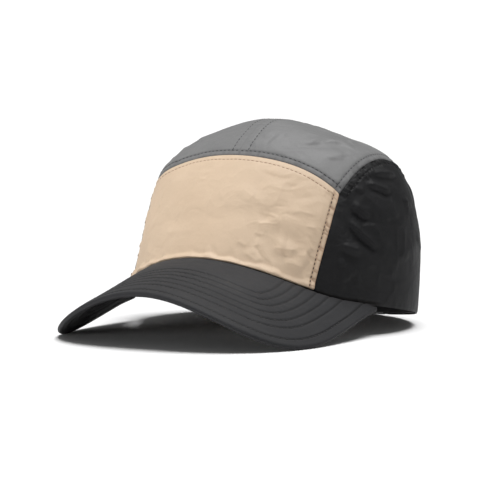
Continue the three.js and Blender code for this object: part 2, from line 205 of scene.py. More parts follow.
crown = {
    "height": 116, "rimHalfWidth": 91.4, "rimFront": 95.6, "rimRear": 92.7,
    "roundness": 1.9, "rollHeight": 45,
    # share of a plain dome at the front, side and rear, from the top down to the rim
    "profile": [(1, 1, 1), (1.027, 1.014, 1.023), (0.988, 1.126, 1.075), (0.964, 1.085, 1.018), (1, 1, 1)],
    "curl": (-0.021, -0.01, 0.031),
    "corners": [(0, 13, 0.008), (24, 16, -0.009)],  # degrees behind the side seam, width, share
    "wall": 1.4, "layerGap": 0.35,
    # where the worn cloth has settled, most of all behind the side seam at the wearer's right: heading,
    # share of the way down, the spreads of the two, then share of the radius
    "settled": [
        (-50, 0.556, 10.6, 0.101, -0.041), (-60, 0.836, 9.9, 0.108, 0.038), (-82, 0.42, 28, 0.12, 0.055),
        (-65, 0.8, 8.5, 0.42, 0.038), (-55, 0.9, 8, 0.085, 0.019),
        (120, 0.84, 30, 0.1, 0.014), (118, 1.02, 30, 0.06, -0.012)],
    "tilt": -0.170029255, "rest": (-0.0009, 33.5230, 14.4271),
}
seams = {
    "sideHeading": 44.2, "stripRearHalfWidth": 38.8,
    "corner": (0.521, -0.363), "frontMiddle": -0.456,
    "bowUpper": (-0.053, 0.393), "bowLower": (0.037, -0.314),
}
board = {
    "length": 64, "thickness": 4, "widestForward": 72, "flare": 0.7, "endWidth": 1.4,
    "endHeading": 73, "height": 18.2, "slope": 0.414, "archPower": 1.95,
    "frontPower": 2.6, "sidePower": 2.24,
}
closure = {
    "openingHalfWidth": 28, "openingHeight": 46, "openingPower": 2.2,
    "strapHeight": 20, "strapThickness": 1.2, "strapLift": 4.2, "strapTuck": 19, "strapThinEdge": 0.12,
    "slideWidth": 24, "slideBar": 4, "slideRail": 2.2, "slideThickness": 1.5, "slideOffset": 7,
    "slideInset": 0.1, "slideVoxel": 0.25,
}
band = {
    "height": 32, "thickness": 1.2, "lift": 0.8, "slack": 1.3, "setback": 2, "step": 14,
    "stitchRows": (0.12, 0.93),     # shares of the way up
}


def gather(*parts):
    # numbers side by side, as places
    return np.stack(np.broadcast_arrays(*parts), -1)


def runLength(points, axis=0):
    # the way gone along lines of points
    steps = np.linalg.norm(np.diff(points, axis=axis), axis=-1)
    return np.concatenate([np.take(steps, [0], axis) * 0, np.cumsum(steps, axis)], axis)


def smooth(t):
    t = np.clip(t, 0, 1)
    return t * t * (3 - 2 * t)


def bell(t):
    return np.exp(-t * t)


def around(h, row):
    c = np.cos(h)
    f, r = np.maximum(c, 0) ** 2, np.maximum(-c, 0) ** 2
    return f * row[0] + r * row[2] + (1 - f - r) * row[1]


def wrap(h):
    return (h + np.pi) % (2 * np.pi) - np.pi


def superRadius(angle, across, along, power):
    return (np.abs(np.sin(angle) / across) ** power + np.abs(np.cos(angle) / along) ** power) ** (-1 / power)


def plainRadius(h):
    along = np.where(np.cos(h) > 0, crown["rimFront"], crown["rimRear"])
    return superRadius(h, crown["rimHalfWidth"], along, crown["roundness"])


def cornerShare(h):
    turn = np.degrees(np.abs(wrap(h)))
    return sum(share * bell((turn - seams["sideHeading"] - behind) / width)
               for behind, width, share in crown["corners"])


def profileShare(down, h):
    rows = [around(h, row) for row in crown["profile"]]
    rows = [rows[1]] + rows + [2 * rows[4] - rows[3]]
    u = np.clip(down, 0, 1) * 4
    i = np.minimum(np.floor(u).astype(int), 3)
    t = u - i
    stack = np.stack(np.broadcast_arrays(*rows, t)[:-1])
    a, b, c, d = (np.take_along_axis(stack, (i + k)[None], 0)[0] for k in range(4))
    return 0.5 * (2 * b + (c - a) * t + (2 * a - 5 * b + 4 * c - d) * t * t
                  + (3 * b - a - 3 * c + d) * t ** 3)


def rimPlan(h):
    r = plainRadius(h) * (1 + cornerShare(h)) * (1 - around(h, crown["curl"]))
    return r * np.sin(h), -r * np.cos(h)


endX, endY = (float(v) for v in rimPlan(np.radians(board["endHeading"])))
board["halfWidth"] = endX + crown["layerGap"] + board["endWidth"] + board["flare"]
board["arch"] = ((board["height"] + board["slope"] * (endY + crown["rimFront"]))
                 / (endX / board["halfWidth"]) ** board["archPower"])


def boardHeight(x, y):
    return (board["height"] + board["slope"] * (y + crown["rimFront"])
            - board["arch"] * np.abs(x / board["halfWidth"]) ** board["archPower"])


def boardNormal(x, y):
    e = 0.01
    dx = (boardHeight(x + e, y) - boardHeight(x - e, y)) / (2 * e)
    dy = (boardHeight(x, y + e) - boardHeight(x, y - e)) / (2 * e)
    return unit(gather(-dx, -dy, 1))


def unit(v):
    return v / np.maximum(np.linalg.norm(v, axis=-1, keepdims=True), 1e-12)


def rimRise(h):
    h = wrap(h)
    onBoard = np.abs(h) <= np.radians(board["endHeading"])
    return np.where(onBoard, np.maximum(boardHeight(*rimPlan(h)), 0), 0)


def plainPoint(a, b):
    down, h = np.hypot(a, b), np.arctan2(a, -b)
    phi = down * np.pi / 2
    share = profileShare(down, h)
    z = share * crown["height"] * np.cos(phi)
    r = share * plainRadius(h) * (1 + cornerShare(h) * smooth(down / 0.6)) * np.sin(phi)
    r = r * (1 - around(h, crown["curl"]) * np.maximum(1 - z / crown["rollHeight"], 0) ** 2)
    for heading, level, turn, reach, share in crown["settled"]:
        r = r * (1 - share * bell((np.degrees(h) - heading) / turn) * bell((down - level) / reach))
    return gather(r * np.sin(h), -r * np.cos(h), z + rimRise(h) * down ** 4)


# large folds: heading, share of the way down, turn, then length, width and depth in mm
broadFolds = [
    (79, 0.615, 38, 11.6, 4.1, 1.4), (66, 0.71, 30, 10.4, 4.1, 1.4), (65, 0.78, 42, 17.4, 5.2, 1.6),
    (92, 0.72, 60, 13.9, 5.8, 0.7), (118, 0.66, -35, 16.2, 5.8, 0.5), (26, 0.86, 48, 13.9, 5.8, 1.4),
    (34, 0.82, 20, 10.4, 4.6, 1.0), (12, 0.74, -12, 23.2, 8.1, 0.9), (-20, 0.8, 25, 20.9, 7.0, 1.0),
    (62, 0.42, 10, 18.6, 5.8, 1.2), (-8, 0.3, 80, 16.2, 7.0, 0.9), (150, 0.5, -20, 20.9, 7.0, 1.2),
    (-140, 0.46, 25, 20.9, 7.0, 1.2), (-76, 0.66, -40, 16.2, 5.2, 1.4), (-66, 0.78, -28, 15.1, 4.6, 1.3),
    (-112, 0.72, 36, 17.4, 5.8, 1.3),
]
# folds: places along the side that falls away, as heading and share of the way down, left to right as seen
# from outside, then height and width in mm
folds = [
    ([(73, 0.569), (77.5, 0.565), (84, 0.565), (92, 0.561)], 1.6, 2.6),
    ([(68, 0.602), (72, 0.61), (76.5, 0.615), (80, 0.623), (84.5, 0.627)], 2.0, 2.6),
    ([(59.5, 0.676), (62, 0.688), (65, 0.705), (69, 0.725)], 2.2, 3.0),
    ([(56.5, 0.729), (58.5, 0.738), (60.5, 0.75), (63, 0.77), (66, 0.787), (68.5, 0.803), (73.5, 0.824)],
     2.1, 2.4),
    ([(54, 0.811), (56.5, 0.828), (60.5, 0.836), (64.5, 0.844)], 1.3, 3.4),
    ([(53.5, 0.889), (56, 0.881), (58, 0.877)], 0.6, 2.4), ([(58.5, 0.91), (62.5, 0.906)], 0.7, 2.6),
    ([(55.5, 0.934), (60.5, 0.918)], 0.5, 2.6), ([(90.5, 0.647), (94.5, 0.664)], 0.8, 3.0),
    ([(62, 0.623), (64.5, 0.627), (67, 0.635)], 0.8, 2.2), ([(76, 0.7), (82, 0.72), (88, 0.75)], 0.35, 5.0),
    ([(80, 0.86), (87, 0.84), (94, 0.83)], 0.35, 5.0),
    ([(32.5, 0.414), (45.5, 0.401), (56.5, 0.393)], 0.5, 3.6), ([(27, 0.36), (36, 0.352)], 0.35, 3.0),
    ([(55, 0.393), (64.5, 0.393), (71, 0.442)], 0.55, 3.6),
    ([(49.5, 0.487), (56, 0.5), (63.5, 0.475)], 0.5, 3.6), ([(72, 0.364), (76, 0.401)], 0.4, 3.0),
    ([(11.5, 0.364), (20, 0.344)], 0.35, 3.4),
    ([(108, 0.56), (114, 0.6), (119, 0.65), (122, 0.7)], 0.8, 3.0),
    ([(100, 0.76), (107, 0.79), (113, 0.8)], 0.5, 3.4), ([(128, 0.74), (133, 0.77), (138, 0.78)], 0.6, 3.2),
    ([(124, 0.88), (131, 0.86)], 0.5, 2.6), ([(158, 0.42), (166, 0.44), (176, 0.43)], 0.6, 3.4),
    ([(184, 0.56), (196, 0.58), (204, 0.57)], 0.6, 3.2), ([(208, 0.36), (220, 0.4), (228, 0.44)], 0.5, 3.0),
    ([(140, 0.5), (148, 0.53)], 0.5, 2.8),
    ([(-96, 0.55), (-88, 0.545), (-79, 0.55), (-74, 0.56)], 0.8, 2.8),
    ([(-92, 0.61), (-84, 0.6), (-76, 0.6)], 0.8, 2.8), ([(-88, 0.73), (-81, 0.7), (-75, 0.68)], 1.0, 3.0),
    ([(-98, 0.85), (-90, 0.81), (-82, 0.78), (-76, 0.76)], 1.4, 2.8),
    ([(-110, 0.78), (-102, 0.75), (-95, 0.74)], 0.7, 3.2),
    ([(-126, 0.68), (-120, 0.72), (-112, 0.74)], 0.7, 3.2),
    ([(-96, 0.9), (-89, 0.88), (-82, 0.88)], 0.5, 2.8), ([(-60, 0.4), (-48, 0.42), (-38, 0.4)], 0.45, 3.2),
    ([(-100, 0.3), (-80, 0.33)], 0.4, 3.4), ([(6, 0.639), (11.5, 0.664), (15.5, 0.705)], 0.3, 4.5),
    ([(-4, 0.746), (3, 0.77), (6.5, 0.758)], 0.3, 5.0),
    ([(-26.5, 0.844), (-13, 0.856), (-3, 0.848)], 0.45, 6.0),
    ([(-38, 0.8), (-32, 0.79), (-27, 0.8)], 0.3, 3.5), ([(29.5, 0.594), (36, 0.61)], 0.25, 3.0),
    ([(24.5, 0.774), (29.5, 0.758), (34.5, 0.754)], 0.25, 2.8),
]
# creases: the same along a sharp ridge whose far side falls away below it, or a sharp valley when less than 0
creases = [
    ([(27, 0.865), (29, 0.869), (32, 0.869), (35, 0.865), (38, 0.848)], 1.1, 5.0),
    ([(30.5, 0.885), (35.5, 0.9)], -0.4, 2.2), ([(19.5, 0.82), (23, 0.828)], 0.35, 2.2),
    ([(20.5, 0.876), (22.5, 0.908), (25, 0.934)], -0.8, 2.6),
    ([(16.5, 0.915), (20, 0.94), (23.5, 0.96)], 0.6, 2.6), ([(13.5, 0.872), (17.5, 0.892)], 0.5, 2.8),
    ([(32, 0.912), (36.5, 0.917), (41, 0.922)], 1.1, 5.5),
    ([(43.2, 0.853), (41.5, 0.83), (40, 0.8)], 0.8, 2.6),
    ([(41.2, 0.848), (42, 0.877), (43.2, 0.897)], -0.7, 2.0),
    ([(32.5, 0.722), (37, 0.71), (41.5, 0.718), (45, 0.726)], 0.3, 1.8),
    ([(39.5, 0.764), (42.5, 0.768), (45, 0.772)], 0.4, 1.8),
]


def foldFrame(down, h, row):
    heading, level, turn, length, width, depth = row
    x = wrap(h - math.radians(heading)) * level * crown["rimHalfWidth"]
    y = (level - down) * math.pi / 2 * crown["height"]
    c, s = math.cos(math.radians(turn)), math.sin(math.radians(turn))
    return (x * c - y * s) / length, (x * s + y * c) / width, depth


def foldedPoint(a, b):
    p = plainPoint(a, b)
    down, h = np.hypot(a, b), np.arctan2(a, -b)
    depth = 0
    for row in broadFolds:
        u, v, d = foldFrame(down, h, row)
        depth = depth + d * np.exp(-(u * u + v * v))
    inward = unit(np.array([0, 0, crown["height"] / 3]) - p)
    return p + inward * (depth * smooth((1 - down) / 0.24))[..., None]


def slopes(surface, a, b, e=1e-4):
    east = (surface(a + e, b) - surface(a - e, b)) / (2 * e)
    north = (surface(a, b + e) - surface(a, b - e)) / (2 * e)
    return east, north


def outward(surface, a, b):
    return unit(np.cross(*slopes(surface, a, b)))


def polar(down, h):
    return down * np.sin(h), -down * np.cos(h)


def wallShare(h, up):
    # share of the way down the crown, a distance up the cloth from the rim
    h, up = np.broadcast_arrays(np.asarray(h, float), np.asarray(up, float))
    levels = np.arange(1, 0.3, -0.01)
    a, b = polar(levels[None], h.ravel()[:, None])
    gone = runLength(plainPoint(a, b), 1)
    return np.array([np.interp(u, g, levels) for u, g in zip(up.ravel(), gone)]).reshape(h.shape)


def wallPoint(h, up, depth):
    a, b = polar(wallShare(h, up), h)
    return plainPoint(a, b) - outward(plainPoint, a, b) * np.asarray(depth)[..., None]


def rearHeading(across):
    return math.pi - np.asarray(across, float) / crown["rimRear"]


def toRow(p):
    c, s = math.cos(crown["tilt"]), math.sin(crown["tilt"])
    x, y, z = p[..., 0], p[..., 1], p[..., 2]
    rx, ry, rz = crown["rest"]
    return gather(x + rx, y * c - z * s + ry, y * s + z * c + rz) / 1000


def noise(p, size, seed=0):
    # smooth lumps about one size across, from -1 to 1
    q = np.asarray(p) / size + seed * 17.31
    i = np.floor(q).astype(np.int64)
    f = q - i
    u = f * f * f * (f * (f * 6 - 15) + 10)
    total = 0
    for corner in np.ndindex(2, 2, 2):
        x, y, z = (i[..., k] + step for k, step in enumerate(corner))
        n = (x * 73856093) ^ (y * 19349663) ^ (z * 83492791)
        n = ((n ^ (n >> 13)) * 1274126177) & 0x7fffffff
        value = ((n >> 8) & 0xffff) / 32767.5 - 1
        wx, wy, wz = (u[..., k] if step else 1 - u[..., k] for k, step in enumerate(corner))
        total = total + value * (wx * wy * wz)
    return total


def nearLine(points, line, up=None):
    # distance to a line of points, and how far along it; with the way outwards given, the distance is
    # negative on the line's right
    runs = np.diff(line, axis=0)
    spans = np.linalg.norm(runs, axis=1)
    starts = runLength(line)
    best = np.full(points.shape[:-1], 1e9)
    along = np.zeros(points.shape[:-1])
    for k, run in enumerate(runs):
        away = points - line[k]
        t = np.clip(away @ run / max(spans[k] ** 2, 1e-12), 0, 1)
        d = np.linalg.norm(away - t[..., None] * run, axis=-1)
        closer = d < np.abs(best)
        best = np.where(closer, d if up is None else d * np.sign(np.cross(run, away) @ up), best)
        along = np.where(closer, starts[k] + t * spans[k], along)
    return best, along


# seam lines on the disc, wearer's left half

def sweepLine(count, low=0.0, high=1.0):
    return np.linspace(low, high, count + 1)


def frontSeam(t):
    across, back = seams["corner"]
    return gather(t * across, seams["frontMiddle"] + (back - seams["frontMiddle"]) * t * t)


def sideSeam(t):
    foot = np.array(polar(1, math.radians(seams["sideHeading"])))
    return foot + (np.array(seams["corner"]) - foot) * t[:, None]


stripEnd = float(rearHeading(seams["stripRearHalfWidth"]))


def stripSeam(t):
    start, end = np.array(seams["corner"]), np.array(polar(1, stripEnd))
    upper, lower = start + np.array(seams["bowUpper"]), end + np.array(seams["bowLower"])
    t = t[:, None]
    return ((1 - t) ** 3 * start + 3 * (1 - t) ** 2 * t * upper + 3 * (1 - t) * t * t * lower
            + t ** 3 * end)


def archLine(t):
    off = np.sin(t * np.pi / 2)
    power = closure["openingPower"]
    up = closure["openingHeight"] * np.maximum(1 - off ** power, 0) ** (1 / power)
    h = np.pi - closure["openingHalfWidth"] / crown["rimRear"] * off
    return gather(*polar(wallShare(h, up), h))


def rimLine(start, end, count):
    return gather(*polar(1, np.linspace(start, end, count + 1)))


def mirror(line):
    return line * np.array([-1, 1])


def bothSides(line):
    # a line that starts in the middle, with its mirror image before it
    return np.concatenate([mirror(line)[::-1], line[1:]])


def middleLine(count, end):
    return gather(0, np.linspace(seams["frontMiddle"], end, count + 1))


def fillPatch(bottom, right, top, left):
    u = np.linspace(0, 1, len(bottom))[:, None, None]
    v = np.linspace(0, 1, len(left))[None, :, None]
    b, t, l, r = bottom[:, None], top[:, None], left[None], right[None]
    return ((1 - v) * b + v * t + (1 - u) * l + u * r - (1 - u) * (1 - v) * bottom[0]
            - u * (1 - v) * bottom[-1] - (1 - u) * v * top[0] - u * v * top[-1])


def drawIn(grid, sides, amount=0.012):
    # takes the sewn edges in by a hair so that neighbours stay clear of each other
    grid = grid.copy()
    p = foldedPoint(grid[..., 0], grid[..., 1])
    edges = {"bottom": (np.s_[:, 0], np.s_[:, 1]), "top": (np.s_[:, -1], np.s_[:, -2]),
             "left": (np.s_[0, :], np.s_[1, :]), "right": (np.s_[-1, :], np.s_[-2, :])}
    for side, (edge, inner) in edges.items():
        if side in sides:
            span = np.linalg.norm(p[inner] - p[edge], axis=-1)[:, None]
            share = np.minimum(amount / np.maximum(span, 1e-6), 0.5)
            grid[edge] = grid[edge] + (grid[inner] - grid[edge]) * share
    return grid


# meshes

def makeObject(name, points, faces, materials, faceMaterial=None, attributes=None, sharp=50):
    mesh = bpy.data.meshes.new(name)
    faces = faces.tolist() if isinstance(faces, np.ndarray) else faces
    mesh.from_pydata(points.reshape(-1, 3).tolist(), [], faces)
    mesh.polygons.foreach_set("use_smooth", [True] * len(mesh.polygons))
    for material in materials:
        mesh.materials.append(material)
    if faceMaterial is not None:
        mesh.polygons.foreach_set("material_index", faceMaterial.tolist())
    for key, values in (attributes or {}).items():
        kind, field = ("FLOAT_VECTOR", "vector") if values.ndim > 1 else ("FLOAT", "value")
        mesh.attributes.new(key, kind, "POINT").data.foreach_set(field, values.astype(float).ravel())
    mesh.update()
    mesh.set_sharp_from_angle(angle=math.radians(sharp))
    made = bpy.data.objects.new(name, mesh)
    bpy.context.scene.collection.objects.link(made)
    return made


def handIn(made, node=None):
    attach(made, "root")
    if node:
        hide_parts(node)
    print(made.name, len(made.data.polygons), "faces")


def gridFaces(n, m, start=0):
    a = start + np.arange(n)[:, None] * (m + 1) + np.arange(m)
    return gather(a, a + m + 1, a + m + 2, a + 1).reshape(-1, 4)


def shellFaces(n, m):
    # an outer grid, an inner grid after it, and the four edges between them
    count = (n + 1) * (m + 1)
    rows = np.arange(n + 1) * (m + 1)
    cols = np.arange(m + 1)
    loop = np.concatenate([rows[:-1], rows[-1] + cols[:-1], (rows + m)[:0:-1], cols[:0:-1]])
    nxt = np.roll(loop, -1)
    walls = gather(nxt, loop, loop + count, nxt + count)
    return np.concatenate([gridFaces(n, m), gridFaces(n, m, count)[:, ::-1], walls])


def loopFaces(sections, count):
    # closed sections one after another, with quads for the two ends
    s, k = np.arange(sections - 1)[:, None], np.arange(count)
    a, b = s * count + k, s * count + (k + 1) % count
    body = gather(a, b, b + count, a + count).reshape(-1, 4)
    k = np.arange(count // 2 - 1)
    start = gather(k, count - 1 - k, count - 2 - k, k + 1)
    end = gather(k, k + 1, count - 2 - k, count - 1 - k) + (sections - 1) * count
    return np.concatenate([body, start, end])


def outwardFaces(points, faces):
    p = points.reshape(-1, 3)
    a, b, c, d = (p[faces[:, k]] for k in range(4))
    volume = np.einsum("ij,ij->", a, np.cross(b, c)) + np.einsum("ij,ij->", a, np.cross(c, d))
    return faces if volume > 0 else faces[:, ::-1]


def loopMesh(sections):
    points = toRow(sections.reshape(-1, 3))
    return points, outwardFaces(points, loopFaces(*sections.shape[:2]))


def joined(parts):
    points, faces, start = [], [], 0
    for p, f in parts:
        points.append(p)
        faces += [[v + start for v in face] for face in f]
        start += len(p)
    return np.concatenate(points), faces


# finishes

clothGrain = {
    # the tuck colour is near-black painted shade for the gap where the hem rolls over the peak
    "lumpScale": 38.0, "fineScale": 900.0, "tuckAndShade": (17, 15, 15), "sheenRoughness": 0.45,
    "crumpled": (0.38, 0.62, 0.15, 1.0),    # lumps from the first to the second let more crumple show
    "crumpleDepth": 0.0011, "weaveBump": 0.35, "weaveDepth": 0.00006,
}
ribGrain = {"fuzzScale": 1100.0, "sheen": 0.1, "bump": 0.7}
threadGrain = {"scale": 1800.0, "detail": 2.0, "dark": 0.75, "rough": 0.6, "bump": (0.4, 0.0001)}
plasticGrain = {"scale": 1500.0, "detail": 3.0, "dark": 0.85, "rough": 0.42, "bump": (0.25, 0.00008)}


def clothFinish(name, settings):
    made, wire, feed = newMaterial(name)
    grain = clothGrain
    place = wire.node("ShaderNodeTexCoord", out=3)
    lumps = place.noise(grain["lumpScale"], 3.0, Roughness=0.55)
    fine = place.noise(grain["fineScale"], 2.0)
    crumple = place.noise(
        settings["crumpleScale"], 5.0, {"noise_type": "RIDGED_MULTIFRACTAL"},
        Roughness=0.5, Lacunarity=2.1, Offset=0.85, Gain=1.6, Distortion=0.5)
    # two crossing sets of threads, from the cloth's own lengths in millimetres
    cloth, pitch = wire.attribute("cloth", 1), settings["weavePitch"]
    weave = cloth.part(0).wave(pitch) * cloth.part(1).wave(pitch)
    shade = ((lumps - 0.5) * settings["mottle"] + (fine - 0.5) * settings["speckle"]
             + weave * settings["weaveShade"])
    plain = (shade + 0.5).blend(colour(settings["dark"]), colour(settings["light"]))
    # the seam-line attribute mixes in the seam colour: painted shade in seam grooves, stitch channels and
    # pucker valleys
    sewn = (wire.attribute("paintedSeamShade") * settings["lineShade"]).blend(plain, colour(settings["seam"]))
    # then near-black painted shade is mixed in where the hem rolls over the peak
    feed("Base Color", wire.attribute("tuckAndShade").blend(sewn, colour(grain["tuckAndShade"])))
    feed("Roughness", (lumps - 0.5) * 0.25 + settings["rough"])
    feed("Sheen Weight", settings["sheen"])
    feed("Sheen Roughness", grain["sheenRoughness"])
    feed("Specular IOR Level", settings["gloss"])
    crumple = crumple * lumps.between(grain["crumpled"])
    bump = crumple.bump(settings["crumple"], grain["crumpleDepth"])
    feed("Normal", (weave * 0.5 + fine * 0.4).bump(grain["weaveBump"], grain["weaveDepth"], Normal=bump))
    return made


def grainFinish(name, shade, settings):
    # thread or plastic: one colour, with a fine grain
    made, wire, feed = newMaterial(name)
    grain = wire.node("ShaderNodeTexCoord", out=3).noise(settings["scale"], settings["detail"])
    feed("Base Color", grain.blend(colour([c * settings["dark"] for c in shade]), colour(shade)))
    feed("Roughness", (grain - 0.5) * 0.2 + settings["rough"])
    feed("Normal", grain.bump(*settings["bump"]))
    return made


def ribFinish(name, settings):
    # webbing and tape: ribs across the length, from the cloth's own lengths
    made, wire, feed = newMaterial(name)
    cloth = wire.attribute("cloth", 1)
    fuzz = wire.node("ShaderNodeTexCoord", out=3).noise(ribGrain["fuzzScale"], 2.0)
    ribs = cloth.part(0).wave(settings["rib"])
    height = ribs * 0.35 + (ribs * cloth.part(1).wave(settings["row"])) * 0.3 + 0.5
    tone = height * 0.55 + fuzz * 0.45
    feed("Base Color", tone.blend(colour(settings["dark"]), colour(settings["light"])))
    feed("Roughness", (fuzz - 0.5) * 0.15 + settings["rough"])
    feed("Sheen Weight", ribGrain["sheen"])
    feed("Normal", (height + fuzz * 0.3).bump(ribGrain["bump"], settings["deep"]))
    return made


nylon = {
    "mottle": 0.6, "speckle": 0.35, "weaveShade": 0.05, "weavePitch": 0.5, "sheen": 0.05, "gloss": 0.35,
    "crumple": 0.3, "crumpleScale": 50.0,
}
twill = {
    "mottle": 0.4, "speckle": 0.5, "weaveShade": 0.12, "weavePitch": 0.55, "sheen": 0.05,
    "crumpleScale": 120.0,
}
# seam is the colour that painted shade along seams, stitch rows and pucker valleys mixes to, as far as
# lineShade lets it
cloths = {
    "beigeNylon": {
        **nylon, "dark": (200, 176, 150), "light": (220, 197, 171), "seam": (150, 112, 88), "mottle": 0.7,
        "lineShade": 0.7, "rough": 0.6, "crumpleScale": 55.0},
    "greyNylon": {
        **nylon, "dark": (108, 108, 108), "light": (130, 130, 130), "seam": (56, 56, 58), "lineShade": 0.8,
        "rough": 0.58},
    "blackNylon": {
        **nylon, "dark": (27, 27, 28), "light": (41, 41, 42), "seam": (14, 14, 15), "weaveShade": 0.08,
        "lineShade": 0.6, "rough": 0.55, "sheen": 0.0, "gloss": 0.11},
    "peakCloth": {
        **twill, "dark": (36, 36, 38), "light": (46, 46, 48), "seam": (16, 16, 17), "lineShade": 0.9,
        "rough": 0.7, "gloss": 0.22, "crumple": 0.06},
    "underCloth": {
        **twill, "dark": (16, 16, 17), "light": (26, 26, 28), "seam": (10, 10, 10), "lineShade": 0.6,
        "rough": 0.78, "gloss": 0.25, "crumple": 0.08},
}
tapes = {
    "bandTape": {"dark": (15, 15, 16), "light": (34, 34, 36), "rib": 1.1, "row": 0.9, "rough": 0.85,
                 "deep": 0.00025},
    "webbing": {"dark": (12, 12, 13), "light": (38, 38, 40), "rib": 1.5, "row": 1.0, "rough": 0.8,
                "deep": 0.0004},
}
threads = {
    "brownThread": (74, 55, 42), "tanThread": (152, 112, 90), "darkThread": (36, 36, 39),
    "blackThread": (13, 13, 14),
}
finishes = {name: clothFinish(name, settings) for name, settings in cloths.items()}
finishes.update({name: ribFinish(name, settings) for name, settings in tapes.items()})
finishes["slidePlastic"] = grainFinish("slidePlastic", (26, 26, 28), plasticGrain)
finishes.update({name: grainFinish(name, shade, threadGrain) for name, shade in threads.items()})
print("finishes ready")


# the cloth's small relief, in millimetres, outwards

relief = {
    "groove": 0.5, "grooveWidth": 0.6,       # the cloth turns in at a seam
    "channel": 0.28, "channelWidth": 0.6, "puckerLength": 3.6,
    "broad": 0.6, "fold": 0.6, "crinkle": 0.45, "fineCrinkle": 0.2,
    "thickness": 0.6, "deepest": 0.2,        # between the outside and the inside, and how far in it may sink
}
hemRelief = {
    # where the lower edge rests on the peak: distances up from the rim, and the sizes of its lumps
    "crest": 2.7, "foot": 1.75, "length": 4.8, "fade": 4, "lumpSize": 6.5, "rippleSize": 5.0,
    "unevenness": 0.35, "ripple": 0.3, "turnIn": 0.45,
    # the rim's radius, and how long the side is beside a quarter circle of the crown's height
    "radius": 88, "share": 0.86,
}


def seamRelief(points, line, seam, seed):
    # seam: distance of its stitches, depth of its valley, height of its puckers, how dark its painted shade
    # is, stitched
    edge, valley, pucker, dark, stitched = seam
    d, s = nearLine(points, line[::2])
    r = relief
    made = -r["groove"] * min(valley / 0.4, 1) * bell(d / r["grooveWidth"])
    made = made - valley * (1 - smooth(d / (edge + 1)))
    lean = s + d * 0.5 * noise(gather(s, 0, 0), 16, seed + 1)
    tucks = tent(noise(gather(lean, 0, d * 0.1), r["puckerLength"], seed), 0.45)
    tucks = tucks + 0.8 * tent(noise(gather(lean, 0, d * 0.06), 6.8, seed + 2), 0.32)
    reach = edge + 6 * noise(gather(s, 0, 0), 8, seed + 5)
    hold = smooth((d - 0.2) / 0.9) * (1 - smooth((d - reach) / 3.5))
    strip = smooth(d / 0.6) * (1 - smooth((d - edge) / 0.8))
    marks = tent(noise(gather(lean, 0, d * 0.3), 2.8, seed + 8), 0.3) * strip
    made = made + pucker * ((tucks - 0.6) * np.maximum(hold, strip) - 0.6 * marks)
    # shade is painted shade: dark along the seam's groove and in the pucker marks between the seam and its
    # stitches
    shade = np.maximum(bell(d / 0.5), np.minimum(1.5 * pucker, 1) * marks)
    if stitched:
        between = smooth(s / 2) * smooth((s.max() - s) / 2)
        # painted shade along the sunk stitch channel
        made = made - r["channel"] * bell((d - edge) / r["channelWidth"]) * between
        shade = np.maximum(shade, bell((d - edge) / 0.5) * between)
    return made, shade * dark, d


def tent(value, reach):
    return np.maximum(1 - np.abs(value) / reach, 0)


def crinkle(points, seed, strength):
    # a soft swell, then sharp folds and finer creases that come and go
    w = points + gather(*(noise(points, 21, seed + k) for k in (1, 2, 3))) * 6

    def ridge(size, step, reach):
        return tent(noise(w, size, seed + step), reach)

    here = smooth(noise(points, 27, seed + 11) * 1.6 + 0.62)
    made = relief["broad"] * noise(points, 34, seed + 7)
    made = made + relief["fold"] * here * (ridge(20, 4, 0.42) - ridge(17, 5, 0.36))
    made = made + relief["crinkle"] * here * (ridge(9.5, 6, 0.4) - 0.6 * ridge(8, 12, 0.36))
    made = made + relief["fineCrinkle"] * ridge(4.6, 8, 0.5) * smooth(noise(points, 15, seed + 9) + 0.5)
    return made * strength


def softened(line, rounds=2):
    # cuts the corners off a line
    for _ in range(rounds):
        a, b = line[:-1], line[1:]
        cut = np.stack([a * 0.75 + b * 0.25, a * 0.25 + b * 0.75], 1).reshape(-1, 2)
        line = np.concatenate([line[:1], cut, line[-1:]])
    return line


def foldRelief(p, sharp, places, height, width):
    marks = softened(np.array(places, float))
    a, b = polar(marks[:, 1], np.radians(marks[:, 0]))
    line = foldedPoint(a, b)
    middle = len(line) // 2
    length = np.linalg.norm(np.diff(line, axis=0), axis=1).sum()
    made = np.zeros(p.shape[:-1])
    near = np.linalg.norm(p - line[middle], axis=-1) < length / 2 + 4 * width + 2
    if near.any():
        v, along = nearLine(p[near], line, outward(foldedPoint, a, b)[middle])
        v, share = v / width, along / length
        if sharp:
            below = np.where(v > -1, 1 + 1.5 * v * (2 + v), -0.5 * bell((v + 1) / 1.2))
            shape = np.where(v > 0, np.exp(-1.3 * np.maximum(v, 0)), below)
        else:
            above = np.where(v > 0.5, bell((v - 0.5) / 1.2), 1.5 * smooth(v + 0.5) - 0.5)
            shape = np.where(v < -0.5, -0.5 * bell((v + 0.5) / 1.8), above)
        made[near] = height * shape * smooth(share / 0.3) * smooth((1 - share) / 0.3)
    return made


